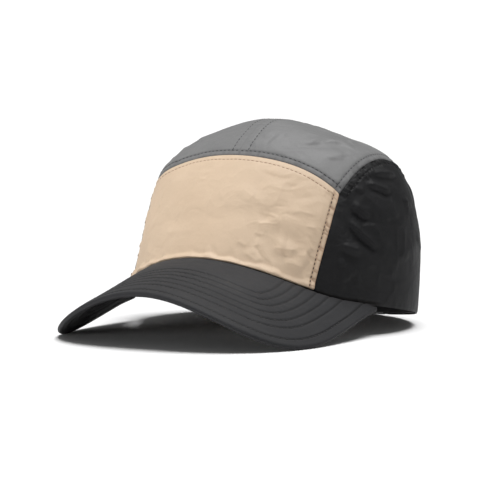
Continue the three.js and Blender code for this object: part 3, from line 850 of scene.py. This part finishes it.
class Panel:
    # one cloth panel: its patch of the disc, the seams round it and its relief
    def __init__(self, name, grid, sewn, seed, strength, roll):
        self.name, self.grid, self.seed, self.strength, self.roll = name, grid, seed, strength, roll
        self.seams = [(foldedPoint(line[:, 0], line[:, 1]), seam) for line, seam in sewn]

    def turnHem(self, made, down, h):
        # the lower edge turns in, and rolls over the peak where it rests on it; also gives a mask for painted
        # shade in the gap under the roll
        r = hemRelief
        crest, foot = r["crest"], r["foot"]
        up = (1 - down) * math.pi / 2 * crown["height"] * r["share"]
        turned = 1 - smooth((np.degrees(np.abs(h)) - board["endHeading"]) / r["fade"])
        way = h * r["radius"]
        lumps = noise(gather(way, 0, 0), r["lumpSize"], self.seed + 9)
        ripple = tent(noise(gather(way + up * 0.3, 0, up * 0.1), r["rippleSize"], self.seed + 14), 0.45)
        uneven = 1 + r["unevenness"] * lumps
        roll = uneven * (1 - smooth((up - crest) / (r["length"] * uneven)))
        roll = roll * smooth((up - foot) / (crest - foot))
        ripple = r["ripple"] * (ripple - 0.5) * smooth((up - crest) / 2)
        roll = roll + ripple * (1 - smooth((up - 7 - 5 * lumps) / 5))
        made = made + self.roll * roll * turned - r["turnIn"] * bell(up / 0.7)
        # the second value is the mask of painted shade under the roll
        return made, turned * (1 - smooth((up - foot - 0.15) / 0.6))

    def height(self, a, b):
        p = foldedPoint(a, b)
        down, h = np.hypot(a, b), np.arctan2(a, -b)
        made, shade = 0, 0
        nearest = np.full(a.shape, 1e9)
        for k, (line, seam) in enumerate(self.seams):
            part, dark, d = seamRelief(p, line, seam, self.seed + k)
            made, shade, nearest = made + part, np.maximum(shade, dark), np.minimum(nearest, d)
        made = made + smooth((nearest - 1.0) / 7) * crinkle(p, self.seed, self.strength(down, h))
        rows = [(False, *row) for row in folds] + [(True, *row) for row in creases]
        made = made + sum(foldRelief(p, *row) for row in rows) * smooth((nearest - 0.4) / 3)
        made, tuckAndShade = self.turnHem(made, down, h)
        return made, shade, tuckAndShade, p

    def point(self, a, b):
        made, _, _, p = self.height(a, b)
        return p + outward(foldedPoint, a, b) * made[..., None]

    def build(self, material, slot):
        a, b = self.grid[..., 0], self.grid[..., 1]
        made, shade, tuckAndShade, p = self.height(a, b)
        n = outward(foldedPoint, a, b)
        sunk = np.minimum(made, relief["deepest"]) - relief["thickness"]
        points = toRow(np.concatenate([(p + n * off[..., None]).reshape(-1, 3) for off in (made, sunk)]))
        faces = outwardFaces(points, shellFaces(a.shape[0] - 1, a.shape[1] - 1))
        cloth = gather(runLength(p), runLength(p, 1), 0).reshape(-1, 3)
        attributes = {"cloth": np.concatenate([cloth, cloth])}
        # the painted seam shade and the painted tuck shade go on the outer skin only
        for key, value in (("paintedSeamShade", shade), ("tuckAndShade", tuckAndShade)):
            attributes[key] = np.concatenate([value.ravel(), value.ravel() * 0])
        made = makeObject(self.name + "_cloth", points, faces, [material], attributes=attributes)
        handIn(made, self.name)


def offsetLine(line, distance, towards):
    # a line on the disc moved sideways over the cloth by a distance in millimetres
    a, b = line[:, 0], line[:, 1]
    east, north = slopes(foldedPoint, a, b)
    normal = unit(np.cross(east, north))
    p = foldedPoint(a, b)
    side = unit(np.cross(normal, unit(np.gradient(p, axis=0))))
    ee, en, nn = (east * east).sum(-1), (east * north).sum(-1), (north * north).sum(-1)
    se, sn = (side * east).sum(-1), (side * north).sum(-1)
    det = ee * nn - en * en
    move = gather((se * nn - sn * en) / det, (sn * ee - se * en) / det)
    middle = len(line) // 2
    sign = np.sign(np.dot(move[middle], np.asarray(towards) - line[middle]))
    return line + move * sign * distance


# one loop of thread: places along it, how far it rises and how thick it is there
loop = {
    "places": (0.0, 0.1, 0.3, 0.7, 0.9, 1.0), "rise": (-0.28, -0.02, 0.12, 0.12, -0.02, -0.28),
    "thick": (0.35, 0.85, 1.0, 1.0, 0.85, 0.35), "sides": 6, "flat": 0.8,
}


def stitchRun(points, normals, look, start=0.0, end=0.0):
    # small sunk loops of thread along a line; points and normals are in the crown's frame
    s = runLength(points)
    pitch = look["length"] + look["gap"]
    count = max(int((s[-1] - start - end) / pitch), 1)
    begin = start + (s[-1] - start - end - count * pitch) / 2
    places, rise, thick = (np.array(loop[key]) for key in ("places", "rise", "thick"))
    sides, size = loop["sides"], loop["sides"] * len(places)
    at = begin + np.arange(count)[:, None] * pitch + places * look["length"]

    def grab(data, where):
        return gather(*(np.interp(where, s, data[:, k]) for k in range(3)))

    ahead = unit(grab(points, at + 0.2) - grab(points, at - 0.2))
    side = unit(np.cross(unit(grab(normals, at)), ahead))
    up = unit(np.cross(ahead, side))
    centre = grab(points, at) + up * (rise * look["width"] * 1.6 + look["lift"])[:, None]
    ring = np.radians(np.arange(sides) * 360 / sides)[:, None]
    spread = side[:, :, None] * np.cos(ring) + up[:, :, None] * np.sin(ring) * loop["flat"]
    verts = centre[:, :, None] + spread * (thick * look["width"] / 2)[:, None, None]
    firsts = range(0, count * size, size)
    i, j = np.arange(len(places) - 1)[:, None] * sides, np.arange(sides)
    a, b = i + j, i + (j + 1) % sides
    quads = gather(a, b, b + sides, a + sides).reshape(1, -1, 4) + np.array(firsts)[:, None, None]
    caps = [[q + c for c in reversed(range(sides))] for q in firsts]
    caps += [[q + c for c in range(size - sides, size)] for q in firsts]
    return verts.reshape(-1, 3), quads.reshape(-1, 4).tolist() + caps


def makeStitches(name, runs, thread):
    points, faces = joined(runs)
    handIn(makeObject(name, toRow(points), faces, [finishes[thread]], sharp=80))


def panelRun(panel, line, row, look, towards, start, end):
    moved = offsetLine(line, stitch[row], towards)
    fine, whole = np.linspace(0, 1, 400), np.linspace(0, 1, len(moved))
    a, b = (np.interp(fine, whole, moved[:, k]) for k in (0, 1))
    return stitchRun(panel.point(a, b), outward(foldedPoint, a, b), stitch[look], start, end)


stitch = {
    # distances from the seams, then the kinds of stitch
    "frontTop": 4.4, "stripFront": 3.8, "frontSide": 3.6, "stripSide": 4.2, "flank": 4.5, "centre": 5.6,
    "opening": 3.4,
    "plain": {"length": 2.1, "gap": 1.0, "width": 0.5, "lift": 0.0},
    "bold": {"length": 2.0, "gap": 0.9, "width": 0.68, "lift": 0.0},
    "faint": {"length": 2.3, "gap": 0.7, "width": 0.4, "lift": 0.02},
}
frontLine, sideLine, stripLine = (seam(sweepLine(200)) for seam in (frontSeam, sideSeam, stripSeam))
wholeFront = bothSides(frontLine)
archHalf = archLine(sweepLine(60))
centreLine = middleLine(200, float(archHalf[0, 1]))
flips = {"left": 1, "right": -1}
panelCells = {"front": (190, 122), "top": (90, 232), "side": (222, 132)}
panelLooks = {
    "front": ("beigeNylon", "beige_cloth"), "top": ("greyNylon", "grey_cloth"),
    "side": ("blackNylon", "black_cloth"),
}


def frontStrength(down, h):
    # livelier at the lower corner on the wearer's left
    return 0.5 + 0.6 * smooth((np.degrees(h) - 8) / 30) * smooth((down - 0.62) / 0.2)


def evenStrength(down, h):
    return 0.6 + 0 * down


def sideStrength(down, h):
    # calm beside the front seam at the wearer's right, and at the left towards the back, where the cloth is
    # seen edge on
    turn = np.degrees(h)
    return 0.72 - 0.52 * smooth((turn + 70) / 16) * (h < 0) - 0.42 * smooth((turn - 86) / 22)


def buildPanels():
    made = {}

    def addPair(name, grid, edges, sewn, seeds, strength, roll):
        drawn = drawIn(grid, edges)
        for (tag, flip), seed in zip(flips.items(), seeds):
            both = [(line * (flip, 1), seam) for line, seam in sewn]
            made[name + tag] = Panel(name + tag, drawn * (flip, 1), both, seed, strength, roll)

    n, m = panelCells["front"]
    edge = math.radians(seams["sideHeading"])
    side = sideSeam(sweepLine(m))
    grid = fillPatch(rimLine(-edge, edge, n), side, bothSides(frontSeam(sweepLine(n // 2))), mirror(side))
    flank = (stitch["frontSide"], 0.35, 0.6, 1.0, True)
    sewn = [(wholeFront, (stitch["frontTop"], 0.5, 0.12, 0.3, True)), (sideLine, flank),
            (mirror(sideLine), flank)]
    drawn = drawIn(grid, {"top", "left", "right"})
    made["front_panel"] = Panel("front_panel", drawn, sewn, 1, frontStrength, 1.9)
    n, m = panelCells["top"]
    split = int(n * 0.7)
    arch = archLine(sweepLine(split))
    hem = rimLine(math.pi - closure["openingHalfWidth"] / crown["rimRear"], stripEnd, n - split)
    rear = np.concatenate([arch, hem[1:]])
    middle = middleLine(m, float(arch[0, 1]))
    grid = fillPatch(frontSeam(sweepLine(n)), stripSeam(sweepLine(m)), rear, middle)
    addPair("top_panel_", grid, {"bottom", "right", "left"}, [
        (frontLine, (stitch["stripFront"], 0.6, 0.25, 0.9, True)),
        (stripLine, (stitch["stripSide"], 0.4, 0.3, 0.7, True)),
        (centreLine, (stitch["centre"], 0.08, 0.12, 0.12, True))], (11, 21), evenStrength, 0.0)
    n, m = panelCells["side"]
    share = n / (n + m)
    strip = [stripSeam(sweepLine(count, low, share)) for count, low in ((m, 1.0), (n, 0))]
    grid = fillPatch(rimLine(edge, stripEnd, n), *strip, sideSeam(sweepLine(m)))
    addPair("side_panel_", grid, {"top", "right", "left"}, [
        (sideLine, (4.0, 0.4, 0.15, 1.0, False)),
        (stripLine, (stitch["flank"], 0.5, 0.85, 1.0, True))], (31, 41), sideStrength, 0.5)
    return made


panels = buildPanels()
for name, panel in panels.items():
    finish, slot = panelLooks[name.split("_")[0]]
    panel.build(finishes[finish], slot)
print("panels built")


def sewPanels():
    front, centre = panels["front_panel"], (0.0, -0.75)
    top = panelRun(front, wholeFront, "frontTop", "faint", centre, 3.5, 3.5)
    makeStitches("front_panel_top_stitches", [top], "tanThread")
    lines = (sideLine, mirror(sideLine))
    runs = [panelRun(front, line, "frontSide", "bold", centre, 1.5, 0.5) for line in lines]
    makeStitches("front_panel_side_stitches", runs, "brownThread")
    # line, distance, the side that it moves to, and what stays free at its start and end
    strip = [
        (frontLine, "stripFront", (0.25, 0.3), 0.5, 0.5), (stripLine, "stripSide", (0.25, 0.3), 1.0, 2.0),
        (centreLine, "centre", (0.25, 0.3), stitch["stripFront"], 1.0),
        (archHalf, "opening", (0.25, 0.3), 0.5, 2.0)]
    flank = [(stripLine, "flank", (0.75, 0.2), 2.0, 2.0)]
    for stitches, name, rows, thread, slot in (
            ("strip_stitches", "top_panel_", strip, "darkThread", "grey_cloth"),
            ("side_panel_stitches", "side_panel_", flank, "blackThread", "black_cloth")):
        runs = [panelRun(panels[name + tag], line * (flip, 1), row, "plain", (x * flip, y), start, end)
                for tag, flip in flips.items() for line, row, (x, y), start, end in rows]
        makeStitches(stitches, runs, thread)


sewPanels()


# peak

peakLook = {
    "rows": (6.5, 16.0, 22.5, 29.0, 35.5, 41.5, 47.5),  # from the edge, in mm
    "channel": 0.42, "channelWidth": 0.6, "puff": 0.22,
    # the tuck: depth and width of the groove along the crown, width of the painted shade in it, and where it
    # fades at the ends
    "tuckAndShade": {"depth": 1.0, "width": 0.9, "shadeWidth": 1.0, "endsFrom": 0.9},
    "columns": 330, "topRows": 104, "roundSteps": 8, "clothHalfWidth": 150, "underSkin": 0.2,
    "step": 0.5, "steps": 140,                          # how a row is walked in from the edge
    "rowSlack": 0.35, "rimGap": 1.6, "firstRowShare": 0.8,
    "thread": {"length": 2.3, "gap": 0.8, "width": 0.7, "lift": 0.02},
}


def peakOutline(angle):
    half, forward = board["halfWidth"], board["widestForward"]
    reach = -rimPlan(0.0)[1] + board["length"] - forward
    across = endX + crown["layerGap"] + board["endWidth"]
    along = endY + forward
    rearReach = along / (1 - (across / half) ** board["sidePower"]) ** (1 / board["sidePower"])
    ahead = superRadius(angle, half, reach, board["frontPower"])
    behind = superRadius(angle, half, rearReach, board["sidePower"])
    r = np.where(np.cos(angle) > 0, ahead, behind)
    return gather(r * np.sin(angle), -forward - r * np.cos(angle))


endAngle = math.atan2(endX + crown["layerGap"] + board["endWidth"], -(endY + board["widestForward"]))
edgePlan = peakOutline(np.linspace(-endAngle, endAngle, 700))
edgeLine = gather(*edgePlan.T, boardHeight(*edgePlan.T))


def peakRelief(p):
    d, s = nearLine(p, edgeLine[::2])
    made, shade = 0, 0
    for row in peakLook["rows"]:
        made = made - peakLook["channel"] * bell((d - row) / peakLook["channelWidth"])
        # shade is painted shade along each stitch row's sunk channel
        shade = np.maximum(shade, bell((d - row) / 0.6))
    inner = smooth((d - 4) / 3)
    ripple = noise(gather(s, d * 1.5, 0), 5.0, 61)
    made = made + peakLook["puff"] * inner * 0.5 + 0.08 * inner * ripple
    made = made + 0.25 * noise(p, 30, 62) * smooth(d / 12)
    return made, shade, d


def buildPeak():
    s = np.linspace(-1, 1, peakLook["columns"] + 1)
    h = s * math.radians(board["endHeading"])
    a, b = polar(1, h)
    normal = outward(plainPoint, a, b)
    flat = normal * (1, 1, 0)
    wall = unit(plainPoint(*polar(0.985, h)) - plainPoint(a, b))
    start = gather(*rimPlan(h), 0)
    start = start + unit(flat) * (crown["layerGap"] / np.linalg.norm(flat, axis=1))[:, None]
    end = gather(*peakOutline(s * endAngle).T, 0)
    width = np.linalg.norm(end - start, axis=1)
    rounding = np.minimum(board["thickness"] / 2, width * 0.4)
    flatShare = 1 - rounding / width
    tuckAndShade = peakLook["tuckAndShade"]
    fade = smooth((np.abs(s) - tuckAndShade["endsFrom"]) / (1 - tuckAndShade["endsFrom"]))[:, None]

    def place(t, off):
        p = start + (end - start) * t[:, None]
        x, y = p[:, 0], p[:, 1]
        p[:, 2] = boardHeight(x, y)
        up = boardNormal(x, y)
        free = smooth(t * width / (3 * board["thickness"]))[:, None]
        way = unit(wall * (1 - free) + up * free)
        thin = 1 - fade * smooth(t / 0.3)[:, None] * (0.7 if off > 0 else -0.35)
        return p, way, way * (off / (way * up).sum(-1))[:, None] * thin

    half = board["thickness"] / 2 - peakLook["underSkin"]
    across = s * peakLook["clothHalfWidth"]
    steps = np.linspace(0, 1, peakLook["topRows"] + 1)
    layers = []     # points, stitch shade, tuck shade and cloth lengths of each row

    def addFace(side, steps):
        for t in steps:
            p, way, shift = place(t * flatShare, side * half)
            made, shade, d = peakRelief(p)
            gone = t * flatShare * width
            p = p + shift + way * (side * (made - tuckAndShade["depth"] * bell(gone / tuckAndShade["width"])))[:, None]
            # the third entry is painted shade in the groove along the crown
            layers.append((p, shade, bell(gone / tuckAndShade["shadeWidth"]), gather(across, d, 0)))

    addFace(1, steps)
    for angle in np.radians(np.linspace(90, -90, peakLook["roundSteps"] + 2))[1:-1]:
        p, way, shift = place(flatShare + math.cos(angle) * rounding / width, math.sin(angle) * half)
        layers.append((p + shift, s * 0, s * 0, gather(across, angle * 2, 0)))
    addFace(-1, steps[::-1])
    # tucked holds the painted tuck shade of each row
    sections, shade, tucked, cloth = (np.stack(rows, 1) for rows in zip(*layers))
    points, faces = loopMesh(sections)
    under = np.arange(len(layers)) >= peakLook["topRows"] + peakLook["roundSteps"] // 2 + 2
    slots = np.zeros(len(faces), int)
    slots[:len(layers) * (len(s) - 1)] = np.tile(under, len(s) - 1)
    made = makeObject("peak_cover", points, faces, [finishes["peakCloth"], finishes["underCloth"]], slots, {
        "cloth": cloth.reshape(-1, 3), "paintedSeamShade": shade.ravel(), "tuckAndShade": tucked.ravel()})
    handIn(made, "peak")


def peakRuns(side):
    # each row follows the edge at its own distance until it meets the crown
    runs = []
    tangent = unit(np.gradient(edgePlan, axis=0))
    inward = gather(-tangent[:, 1], tangent[:, 0])
    turns = np.linspace(-math.pi / 2, math.pi / 2, 361)
    rim = gather(*rimPlan(turns))
    step = peakLook["step"]
    for number, row in enumerate(peakLook["rows"]):
        path = edgePlan.copy()
        gone = np.zeros(len(path))
        height = boardHeight(*path.T)
        for _ in range(peakLook["steps"]):
            span = np.hypot(step, boardHeight(*(path + inward * step).T) - height)
            share = np.clip((row - gone) / span, 0, 1)
            path = path + inward * step * share[:, None]
            height = boardHeight(*path.T)
            gone = gone + span * share
        p = gather(*path.T, height)
        d, _ = nearLine(p, edgeLine[::3])
        x, y = path.T
        gap = np.min(np.linalg.norm(path[:, None] - rim[None], axis=-1), 1)
        inside = np.hypot(x, y) < np.interp(np.arctan2(x, -y), turns, np.hypot(*rim.T))
        keep = (d > row - peakLook["rowSlack"]) & ~inside & (gap > peakLook["rimGap"])
        if number == 0:
            keep &= np.abs(np.linspace(-1, 1, len(path))) < peakLook["firstRowShare"]
        p = p[keep]
        up = boardNormal(p[:, 0], p[:, 1]) * side
        p = p + up * (board["thickness"] / 2 - peakLook["underSkin"] + peakRelief(p)[0])[:, None]
        runs.append(stitchRun(p, up, peakLook["thread"]))
    return runs


buildPeak()
makeStitches("peak_top_stitches", peakRuns(1), "blackThread")
makeStitches("peak_under_stitches", peakRuns(-1), "blackThread")


# sweatband, strap and slide

def wallLoop(headings, ups, depths, thickness):
    # sections across a strip that lies inside the wall
    h, up = headings[:, None], ups[None]
    return np.concatenate([wallPoint(h, up, depths), wallPoint(h, up, depths + thickness)[:, ::-1]], 1)


def buildStrip(name, node, headings, ups, depths, thickness, finish):
    sections = wallLoop(headings, ups, depths, thickness)
    points, faces = loopMesh(sections)
    cloth = gather(runLength(sections[:, 0])[:, None], np.concatenate([ups, ups[::-1]]), 0)
    made = makeObject(name, points, faces, [finishes[finish]], attributes={"cloth": cloth.reshape(-1, 3)})
    handIn(made, node)


def buildBand():
    reach = closure["openingHalfWidth"] + closure["strapTuck"]
    end = math.pi - (closure["openingHalfWidth"] + band["setback"]) / crown["rimRear"]
    h = np.linspace(-end, end, 361)
    stepWidth = band["step"] / crown["rimRear"]
    tucked = smooth((np.abs(h) - (math.pi - reach / crown["rimRear"]) + stepWidth) / (stepWidth * 0.8))
    share = np.linspace(0, 1, 29)
    base = crown["wall"] + crown["layerGap"] + tucked * (closure["strapThickness"] + crown["layerGap"])
    bulge = 0.25 * np.sin(share * math.pi) - 0.25 * bell((share - band["stitchRows"][0]) / 0.02)
    depths = base[:, None] + share[None] * band["slack"] + bulge[None] * -0.4
    depths = depths + 0.12 * noise(gather(h[:, None] * 90, share * 30, 0), 9, 71) * share[None]
    buildStrip("sweatband_tape", "sweatband", h, band["lift"] + share * band["height"], depths,
               band["thickness"], "bandTape")
    runs = []
    for row in band["stitchRows"]:
        up = band["lift"] + row * band["height"]
        p = wallPoint(h, up, base + row * band["slack"] + band["thickness"])
        n = -outward(plainPoint, *polar(wallShare(h, up), h))
        runs.append(stitchRun(p, n, stitch["plain"], 2.0, 2.0))
    makeStitches("sweatband_stitches", runs, "darkThread")


def buildStrap():
    reach = closure["openingHalfWidth"] + closure["strapTuck"]
    share = np.linspace(0, 1, 25)
    thin = closure["strapThinEdge"]
    edge = thin * bell(share / 0.05) + thin * bell((1 - share) / 0.05)
    buildStrip("strap_webbing", "rear_strap", rearHeading(np.linspace(-reach, reach, 181)),
               closure["strapLift"] + share * closure["strapHeight"],
               crown["wall"] + crown["layerGap"] + edge, closure["strapThickness"] - thin, "webbing")


def wallBox(across, up, depth):
    headings = rearHeading(np.linspace(*across, 9))
    points, faces = loopMesh(wallLoop(headings, np.linspace(*up, 5), depth[0], depth[1] - depth[0]))
    return points, faces.tolist()


def applyModifiers(made):
    graph = bpy.context.evaluated_depsgraph_get()
    shaped = made.evaluated_get(graph)
    done = bpy.data.meshes.new_from_object(shaped, preserve_all_data_layers=True, depsgraph=graph)
    made.modifiers.clear()
    made.data = done


def buildSlide():
    c, gap, inset = closure, crown["layerGap"], closure["slideInset"]
    middle, bar, rail = c["slideOffset"], c["slideBar"], c["slideRail"]
    left, right = middle - c["slideWidth"] / 2, middle + c["slideWidth"] / 2
    strapDepth = crown["wall"] + gap
    over, under = strapDepth - gap, strapDepth + c["strapThickness"] + gap
    front, back = over - c["slideThickness"], under + c["slideThickness"]
    low, high = c["strapLift"] - gap, c["strapLift"] + c["strapHeight"] + gap
    bars, frontBar = (low - rail / 2, high + rail / 2), (front + inset, over)
    blocks = [
        ((left, right), (low - rail, low), (front, back)),
        ((left, right), (high, high + rail), (front, back)),
        ((left + inset, left + bar), bars, frontBar),
        ((right - bar, right - inset), bars, frontBar),
        ((middle - bar / 2, middle + bar / 2), bars, (under, back - inset)),
    ]
    points, faces = joined(wallBox(*block) for block in blocks)
    made = makeObject("slide_moulding", points, faces, [finishes["slidePlastic"]])
    remesh = made.modifiers.new("join", "REMESH")
    remesh.mode = "VOXEL"
    remesh.voxel_size = c["slideVoxel"] / 1000
    remesh.use_smooth_shade = True
    soften = made.modifiers.new("soften", "SMOOTH")
    soften.factor, soften.iterations = 0.5, 4
    applyModifiers(made)
    handIn(made, "strap_slide")


buildBand()
buildStrap()
buildSlide()
